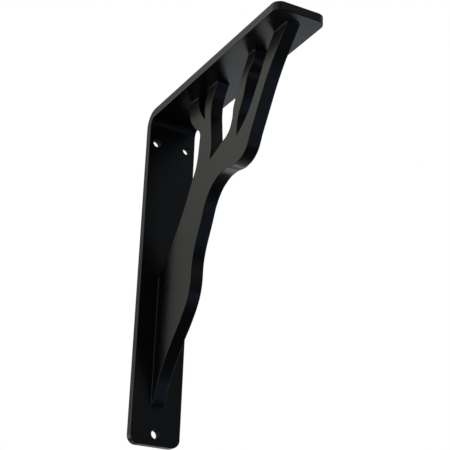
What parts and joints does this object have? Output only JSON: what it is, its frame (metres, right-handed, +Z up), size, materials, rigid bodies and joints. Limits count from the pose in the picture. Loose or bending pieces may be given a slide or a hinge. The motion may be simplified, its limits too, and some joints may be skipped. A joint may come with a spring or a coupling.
{
  "type": "wrought iron bracket",
  "caption": "Black shelf bracket: a flat bar bent to an L, carrying a cut plate shaped as a leaning tree, with screw holes in the wall leg.",
  "frame": {"origin": "on the flat back face that goes against the wall, on the middle line, midway between the two upper screw holes", "axes": "+Z up along the wall leg, +Y into the wall, -Y the way the bracket stands out, +X to the right as seen from the room"},
  "size_m": [0.0382, 0.1905, 0.254],
  "materials": {
    "black_powder_coat": "satin black powder coat on steel, slightly grained, with eased edges that catch the light"
  },
  "bodies": {
    "root": {"bent_bar": "black_powder_coat", "tree_plate": "black_powder_coat"}
  },
  "joints": []
}
